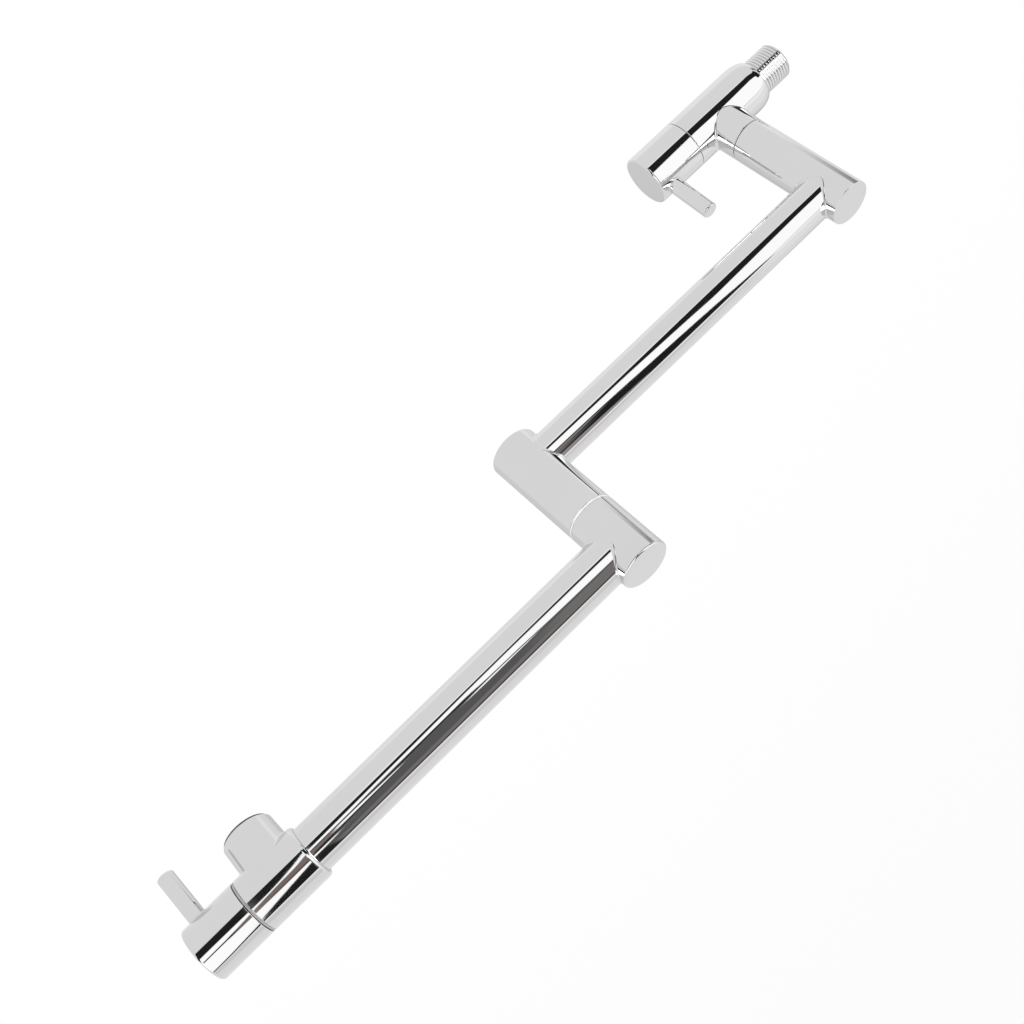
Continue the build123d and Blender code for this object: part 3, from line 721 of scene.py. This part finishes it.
# ------------------------------------------------------------------ studio
# What the chrome mirrors, as cards round the object: name, tint, softness of the upper and
# lower edges in degrees, softness of the ends, and the outline. An outline is a row of (along,
# upper, lower): along is the X part of a direction, and upper and lower are angles about X from
# straight up, in degrees, negative towards the front. Later cards cover earlier ones.
CARDS = (
    ("under table", "paper", 9, 0.08, ((-1, 166, 200), (0.1, 166, 200))),
    ("under table edge", "paper", 6, 0.08, (
        (-1, -200, -163), (-0.4, -200, -163), (-0.3, -200, -170), (0.1, -200, -174),
    )),
    ("left paper", "paper", 14, 0.02, ((-1, 5, 48), (-0.365, 5, 48))),
    ("back dusk", "dusk", 14, 0.1, (
        (-1, 80, 128), (-0.42, 80, 128), (-0.33, 99, 128), (1, 99, 128),
    )),
    ("right floor", "shade", 20, 0.15, ((0.42, 100, 160), (0.7, 100, 160))),
    ("floor shade", "shade", 6, 0.02, ((-0.35, 13, 27), (0.25, 11, 27))),
    ("front table", "lit", 1, 0.002, (
        (-1, -80, -5), (-0.4, -80, -5), (-0.36, -80, 0), (-0.15, -82, 4), (-0.06, -85, 4),
        (0.06, -81, 4), (1, -80, 4),
    )),
    ("wall foot light", "rim", 1.5, 0.01, (
        (-1, -5, 12), (-0.36, 0, 12), (-0.18, 3, 11), (-0.16, 3, 8), (1, 3, 8),
    )),
    ("frame rim", "rim", 1.5, 0.03, (
        (-0.45, -92.5, -86), (-0.3, -95, -86), (-0.2, -98, -86), (0.06, -97, -86),
        (0.14, -92, -86),
    )),
    ("front frame", "flag", 1.2, 0.002, (
        (-1, -112, -49), (-0.87, -110, -49), (-0.84, -103, -57), (-0.82, -98, -66),
        (-0.75, -93, -67), (-0.5, -90.5, -67), (-0.43, -89.5, -66.5), (-0.4, -90.5, -66),
        (-0.36, -90.5, -60.5), (-0.33, -91, -57), (-0.31, -91, -63.4), (-0.29, -90.5, -68.1),
        (-0.25, -89.8, -76), (-0.19, -91.5, -80.6), (-0.13, -93.2, -84.5), (-0.06, -93.2, -86),
        (-0.02, -93, -85.2), (0.03, -92, -80.8), (0.06, -91, -79), (0.129, -89.4, -73.3),
    )),
    ("front frame right", "flag", 1.2, 0.002, (
        (0.129, -89.4, -82), (0.14, -89, -72), (0.143, -89, -69.5), (0.152, -88.6, -65.5),
        (0.16, -89, -63.2), (0.168, -89, -61), (0.18, -89, -61.7),
    )),
    ("front frame end", "flag", 1.2, 0.002, (
        (0.18, -89.5, -62), (0.21, -88.7, -63.3), (0.24, -88.5, -63.5), (0.5, -86, -60),
        (0.8, -78, -46), (1, -78, -40),
    )),
    ("left stand", "flag", 1.2, 0.002, (
        (-0.377, 4.8, 5), (-0.37, -1.3, 5), (-0.35, -8.6, 5), (-0.33, -19, 5), (-0.31, -26, 5),
        (-0.29, -31.8, 5), (-0.27, -37, 5), (-0.25, -42.8, 5), (-0.23, -47.2, 5),
        (-0.21, -49.6, 5), (-0.17, -53, 5),
    )),
    ("left board", "tan", 1.5, 0.002, (
        (-0.232, -40, -39.8), (-0.2, -45, -37.5), (-0.185, -46, -36.5), (-0.17, -46, -30),
    )),
    ("left foot", "tan", 1.5, 0.002, (
        (-0.265, 0, 5), (-0.25, -4, 5), (-0.225, -9.5, 5), (-0.2, -14, 5), (-0.17, -16, 5),
    )),
    ("back wall", "wall", 1.5, 0.002, (
        (-0.17, -51.5, 3.6), (-0.1, -57, 3.6), (-0.07, -62.5, 3.6), (-0.05, -63.5, 3.6),
        (-0.035, -65, 3.6), (-0.02, -71, 3.6), (0, -69.5, 3.6), (0.05, -69.2, 3.6),
        (0.075, -68, 3.6), (0.09, -65.5, 3.6), (0.129, -65.5, 3.6),
    )),
    ("wall bar", "flag", 1, 0.01, (
        (-0.06, -62.5, -60.5), (-0.04, -64, -60.5), (-0.02, -66.5, -60), (0, -68.5, -63.5),
        (0.03, -68.5, -62), (0.05, -64.5, -60.5), (0.07, -62.5, -60.2), (0.09, -64.5, -60),
        (0.129, -64.5, -61.5),
    )),
    ("wall gap", "lit", 1, 0.01, (
        (-0.085, -55.5, -54), (-0.06, -58.5, -54), (-0.04, -59.5, -53.5), (-0.02, -58, -54.5),
    )),
    ("left wall", "board", 4, 0.03, ((-0.2, -46, -22), (-0.09, -46, -22))),
    ("back board", "board", 3, 0.002, ((-0.17, -23, -4), (0.129, -17, -4))),
    ("back foot", "foot", 1.5, 0.002, ((-0.17, -3.6, 1.5), (0.129, -3.6, 1.5))),
    ("wall line", "lit", 1, 0.004, (
        (0.045, -56, -53.5), (0.06, -57, -52.7), (0.08, -59.5, -52), (0.107, -60, -50.8),
    )),
    ("wall shelf", "flag", 1, 0.004, (
        (0.045, -51.5, -49.5), (0.06, -51, -48.5), (0.085, -50.2, -46), (0.105, -50, -45),
        (0.115, -49.5, -41.5), (0.129, -47, -42),
    )),
    ("right panel", "warm", 1.2, 0.002, ((0.107, -61.5, -50.5), (0.129, -61.5, -48.5))),
    ("right gap", "lit", 1, 0.002, ((0.107, -38, -34), (0.129, -39, -31.5))),
    ("right stand", "flag", 1, 0.002, ((0.107, -6, -3), (0.118, -29, -1), (0.129, -31, -2))),
    ("right board", "warm", 1.2, 0.001, (
        (0.129, -66, -39.5), (0.136, -66, -39.5), (0.142, -60, -39.5), (0.157, -59.5, -39.5),
        (0.168, -57, -40), (0.18, -54.5, -40.5),
    )),
    ("right shelf", "foot", 1, 0.004, ((0.129, -45, -42), (0.166, -44.3, -42.3))),
    ("right table", "lit", 1, 0.001, ((0.129, -39, -30), (0.18, -37, -8))),
    ("right flag", "flag", 1, 0.001, ((0.129, -33, 4), (0.155, -22.3, 4), (0.18, -10, 4))),
    ("end board", "warm", 1, 0.002, (
        (0.18, -54, -40.3), (0.19, -51.3, -40.3), (0.203, -48.5, -42),
    )),
    ("end bar", "flag", 1, 0.002, (
        (0.197, -48, -43), (0.21, -47.8, -43), (0.23, -46.8, -43), (0.3, -42.5, -41.5),
    )),
    ("end foot", "flag", 1, 0.001, (
        (0.18, -3.5, 5), (0.19, -1, 5.5), (0.2, 1.5, 7), (0.21, 4.3, 8.8), (0.23, 5, 9),
        (0.26, 8, 11.5), (0.3, 13, 14),
    )),
    ("joint line", "flag", 2, 0.03, ((-0.95, -112, -42), (-0.79, -112, -42))),
)
# Cards that show only in what is mirrored twice, such as an arm in the side of its swivel.
MIRRORED_TWICE = ("joint line",)
# Further along than this towards the wall, the lit card is no brighter in the grooves.
GROOVE_LIGHT_END = -0.78
# Edges of cards lie within this angle of straight up, either way.
CARD_TURN = radians(200)
# Where the grey card starts and stops along its height and width: place and softness, in metres.
GREY_CARD_EDGES = (("Z", (-0.25, 0.08), (-0.15, 0.03)), ("Y", (-0.27, 0.06), (0.12, 0.06)))
# The Mix node has several sockets of one name, so those for colours are taken by number.
MIX_FACTOR, MIX_UNDER, MIX_OVER, MIX_RESULT = 0, 6, 7, 2
# The camera's own axes: right, down and forward.
CAMERA_AXES = (
    Vector((-0.71510, 0.25994, 0.64890)),
    Vector((0.68646, 0.43636, 0.58169)),
    Vector((-0.13195, 0.86140, -0.49048)),
)


def edge_line(tree, along, points):
    """The angle of a card's edge, as straight runs between its points."""
    scaled = tree.nodes.new("ShaderNodeMapRange")
    scaled.inputs["From Min"].default_value = -1
    tree.links.new(along, scaled.inputs["Value"])
    # A curve's places and values run from 0 to 1, and its angle is scaled back after it.
    line = tree.nodes.new("ShaderNodeFloatCurve")
    curve = line.mapping.curves[0]
    places = [((x + 1) / 2, 0.5 + radians(angle) / 2 / CARD_TURN) for x, angle in points]
    curve.points[0].location = places[0]
    curve.points[1].location = places[-1]
    for place in places[1:-1]:
        curve.points.new(*place)
    for point in curve.points:
        point.handle_type = "VECTOR"
    line.mapping.update()
    tree.links.new(scaled.outputs["Result"], line.inputs["Value"])
    angle = tree.nodes.new("ShaderNodeMapRange")
    angle.inputs["To Min"].default_value = -CARD_TURN
    angle.inputs["To Max"].default_value = CARD_TURN
    tree.links.new(line.outputs["Value"], angle.inputs["Value"])
    return angle.outputs["Result"]


def maths(tree, operation, first, second):
    """A Math node on two values, each a number or a socket; returns its result."""
    node = tree.nodes.new("ShaderNodeMath")
    node.operation = operation
    for socket, source in zip(node.inputs, (first, second)):
        if isinstance(source, bpy.types.NodeSocket):
            tree.links.new(source, socket)
        else:
            socket.default_value = source
    return node.outputs["Value"]


def past(tree, value, limit, soft):
    """Rises from 0 to 1 where a value passes a limit; each is a number or a socket."""
    fade = tree.nodes.new("ShaderNodeMapRange")
    fade.interpolation_type = "SMOOTHSTEP"
    fade.inputs["From Min"].default_value = -soft
    fade.inputs["From Max"].default_value = soft
    tree.links.new(maths(tree, "SUBTRACT", value, limit), fade.inputs["Value"])
    return fade.outputs["Result"]


def overlap(tree, parts):
    """The product of several factors."""
    cover, *others = parts
    for part in others:
        cover = maths(tree, "MULTIPLY", cover, part)
    return cover


def studio_world(studio):
    """White all round, with dark and bright cards that only mirrors see."""
    world = bpy.data.worlds.new("studio")
    bpy.context.scene.world = world
    world.use_nodes = True
    tree = world.node_tree
    tree.nodes.clear()
    output = tree.nodes.new("ShaderNodeOutputWorld")
    coordinates = tree.nodes.new("ShaderNodeTexCoord")
    direction = tree.nodes.new("ShaderNodeSeparateXYZ")
    tree.links.new(coordinates.outputs["Generated"], direction.inputs["Vector"])
    along = direction.outputs["X"]
    angle = maths(tree, "ARCTAN2", direction.outputs["Y"], direction.outputs["Z"])
    rays = tree.nodes.new("ShaderNodeLightPath")
    # The limit is halfway between one reflection and two.
    mirrored_twice = past(tree, rays.outputs["Glossy Depth"], 1.5, 0.2)
    in_groove = overlap(tree, (mirrored_twice, past(tree, along, GROOVE_LIGHT_END, 0.02)))
    times = to_range(tree, in_groove, 1, studio.groove_light, start=0, stop=1)
    lit = tree.nodes.new("ShaderNodeVectorMath")
    lit.operation = "SCALE"
    lit.inputs[0].default_value = studio.lit
    tree.links.new(times, lit.inputs["Scale"])
    ambient = tree.nodes.new("ShaderNodeRGB")
    ambient.outputs["Color"].default_value = (*studio.surround, 1)
    colour = ambient.outputs["Color"]
    for name, tint, soft, end_soft, outline in CARDS:
        upper = edge_line(tree, along, [(x, top) for x, top, bottom in outline])
        lower = edge_line(tree, along, [(x, bottom) for x, top, bottom in outline])
        inside = [
            past(tree, angle, upper, radians(soft)),
            past(tree, lower, angle, radians(soft)),
        ]
        if outline[0][0] > -1:
            inside.append(past(tree, along, outline[0][0], end_soft))
        if outline[-1][0] < 1:
            inside.append(past(tree, outline[-1][0], along, end_soft))
        if name in MIRRORED_TWICE:
            inside.append(mirrored_twice)
        mix = tree.nodes.new("ShaderNodeMix")
        mix.data_type = "RGBA"
        mix.label = name
        tree.links.new(overlap(tree, inside), mix.inputs[MIX_FACTOR])
        tree.links.new(colour, mix.inputs[MIX_UNDER])
        if tint == "lit":
            tree.links.new(lit.outputs["Vector"], mix.inputs[MIX_OVER])
        else:
            mix.inputs[MIX_OVER].default_value = (*getattr(studio, tint), 1)
        colour = mix.outputs[MIX_RESULT]
    cards = tree.nodes.new("ShaderNodeBackground")
    tree.links.new(colour, cards.inputs["Color"])
    plain = tree.nodes.new("ShaderNodeBackground")
    plain.inputs["Color"].default_value = (1, 1, 1, 1)
    choose = tree.nodes.new("ShaderNodeMixShader")
    tree.links.new(rays.outputs["Is Glossy Ray"], choose.inputs["Fac"])
    tree.links.new(plain.outputs["Background"], choose.inputs[1])
    tree.links.new(cards.outputs["Background"], choose.inputs[2])
    tree.links.new(choose.outputs["Shader"], output.inputs["Surface"])


def pale_floor_material(studio):
    """White for camera and mirrors, with a faint shadow kept."""
    material = bpy.data.materials.new("pale_floor")
    material.use_nodes = True
    tree = material.node_tree
    tree.nodes.clear()
    output = tree.nodes.new("ShaderNodeOutputMaterial")
    paper = tree.nodes.new("ShaderNodeBsdfDiffuse")
    paper.inputs["Color"].default_value = (*studio.floor_paper, 1)
    glow = tree.nodes.new("ShaderNodeEmission")
    glow.inputs["Color"].default_value = (1, 1, 1, 1)
    rays = tree.nodes.new("ShaderNodeLightPath")
    seen = rays.outputs["Is Camera Ray"]
    for ray in ("Is Glossy Ray", "Is Transmission Ray"):
        seen = maths(tree, "MAXIMUM", seen, rays.outputs[ray])
    mix = tree.nodes.new("ShaderNodeMixShader")
    tree.links.new(maths(tree, "MULTIPLY", seen, studio.floor_glow), mix.inputs["Fac"])
    tree.links.new(paper.outputs["BSDF"], mix.inputs[1])
    tree.links.new(glow.outputs["Emission"], mix.inputs[2])
    tree.links.new(mix.outputs["Shader"], output.inputs["Surface"])
    return material


def grey_card_material(colour):
    """Dark grey in its middle, fading to clear along its edges."""
    material = bpy.data.materials.new("grey_card")
    material.use_nodes = True
    tree = material.node_tree
    tree.nodes.clear()
    place = tree.nodes.new("ShaderNodeSeparateXYZ")
    tree.links.new(object_coordinates(tree), place.inputs["Vector"])
    inside = []
    for axis, (start, start_soft), (stop, stop_soft) in GREY_CARD_EDGES:
        inside.append(past(tree, place.outputs[axis], start, start_soft))
        inside.append(past(tree, stop, place.outputs[axis], stop_soft))
    glow = tree.nodes.new("ShaderNodeEmission")
    glow.inputs["Color"].default_value = (*colour, 1)
    clear = tree.nodes.new("ShaderNodeBsdfTransparent")
    mix = tree.nodes.new("ShaderNodeMixShader")
    tree.links.new(overlap(tree, inside), mix.inputs["Fac"])
    tree.links.new(clear.outputs["BSDF"], mix.inputs[1])
    tree.links.new(glow.outputs["Emission"], mix.inputs[2])
    output = tree.nodes.new("ShaderNodeOutputMaterial")
    tree.links.new(mix.outputs["Shader"], output.inputs["Surface"])
    return material


class POTFILLER_OT_studio(bpy.types.Operator):
    """Set up the camera, pale floor and soft studio light"""

    bl_idname = "potfiller.studio"
    bl_label = "Set up studio"

    def execute(self, context):
        studio = context.scene.pot_filler_studio
        context.scene.view_settings.view_transform = "Standard"

        camera = bpy.data.objects.new("camera", bpy.data.cameras.new("camera"))
        context.scene.collection.objects.link(camera)
        camera.data.sensor_width = 36
        camera.data.lens = studio.lens
        camera.data.clip_start = 0.01
        camera.data.clip_end = 200
        right, down, forward = CAMERA_AXES
        turn = Matrix((right, -down, -forward)).transposed()
        camera.matrix_world = Matrix.Translation(studio.camera_place) @ turn.to_4x4()
        context.scene.camera = camera

        studio_world(studio)

        pick_nothing()
        bpy.ops.mesh.primitive_plane_add(
            size=studio.floor_size, location=(studio.lamp_aim.x, 0, studio.floor_level),
        )
        floor = new_piece("floor")
        floor.data.materials.append(pale_floor_material(studio))
        floor.visible_glossy = False

        # A grey card on the wall side, which only mirrors see.
        bpy.ops.mesh.primitive_plane_add(
            size=1, location=studio.grey_card_place, rotation=(0, pi / 2, 0),
        )
        card = new_piece("grey_card")
        card.scale = (studio.grey_card_height, studio.grey_card_width, 1)
        settle(card)
        card.data.materials.append(grey_card_material(studio.grey_card))
        card.visible_camera = False
        card.visible_diffuse = False
        card.visible_shadow = False

        bpy.ops.object.light_add(type="AREA", location=studio.lamp_place)
        lamp = context.object
        lamp.name = "soft_lamp"
        lamp.data.shape = "SQUARE"
        lamp.data.size = studio.lamp_size
        lamp.data.energy = studio.lamp_power
        aim = (studio.lamp_aim - lamp.location).to_track_quat("-Z", "Y")
        lamp.rotation_euler = aim.to_euler()
        lamp.visible_glossy = False
        lamp.visible_camera = False
        return {"FINISHED"}


class POTFILLER_PT_panel(bpy.types.Panel):
    """Sizes, finishes and studio of the pot filler"""

    bl_idname = "POTFILLER_PT_panel"
    bl_label = "Pot filler"
    bl_space_type = "VIEW_3D"
    bl_region_type = "UI"
    bl_category = "Pot filler"

    def draw(self, context):
        layout = self.layout
        for operator in OPERATORS:
            layout.operator(operator.bl_idname)
        for group in GROUPS:
            box = layout.box()
            box.label(text=group[1].__doc__)
            for name in group[1].__annotations__:
                box.prop(getattr(context.scene, group[0]), name)


GROUPS = (
    ("pot_filler_thread", PotFillerThread),
    ("pot_filler_trim", PotFillerTrim),
    ("pot_filler_finish", PotFillerFinish),
    ("pot_filler_studio", PotFillerStudio),
)
OPERATORS = (
    POTFILLER_OT_chrome,
    POTFILLER_OT_small_parts,
    POTFILLER_OT_valve_inside,
    POTFILLER_OT_wall_thread,
    POTFILLER_OT_joint_beads,
    POTFILLER_OT_studio,
)


def register():
    for name, group in GROUPS:
        bpy.utils.register_class(group)
        setattr(bpy.types.Scene, name, PointerProperty(type=group))
    for operator in OPERATORS:
        bpy.utils.register_class(operator)
    bpy.utils.register_class(POTFILLER_PT_panel)


def unregister():
    bpy.utils.unregister_class(POTFILLER_PT_panel)
    for operator in reversed(OPERATORS):
        bpy.utils.unregister_class(operator)
    for name, group in reversed(GROUPS):
        delattr(bpy.types.Scene, name)
        bpy.utils.unregister_class(group)


def main():
    register()
    bpy.ops.potfiller.chrome()
    bpy.ops.potfiller.small_parts()
    bpy.ops.potfiller.valve_inside()
    bpy.ops.potfiller.wall_thread()
    bpy.ops.potfiller.joint_beads()
    bpy.ops.potfiller.studio()


if __name__ == "__main__":
    main()
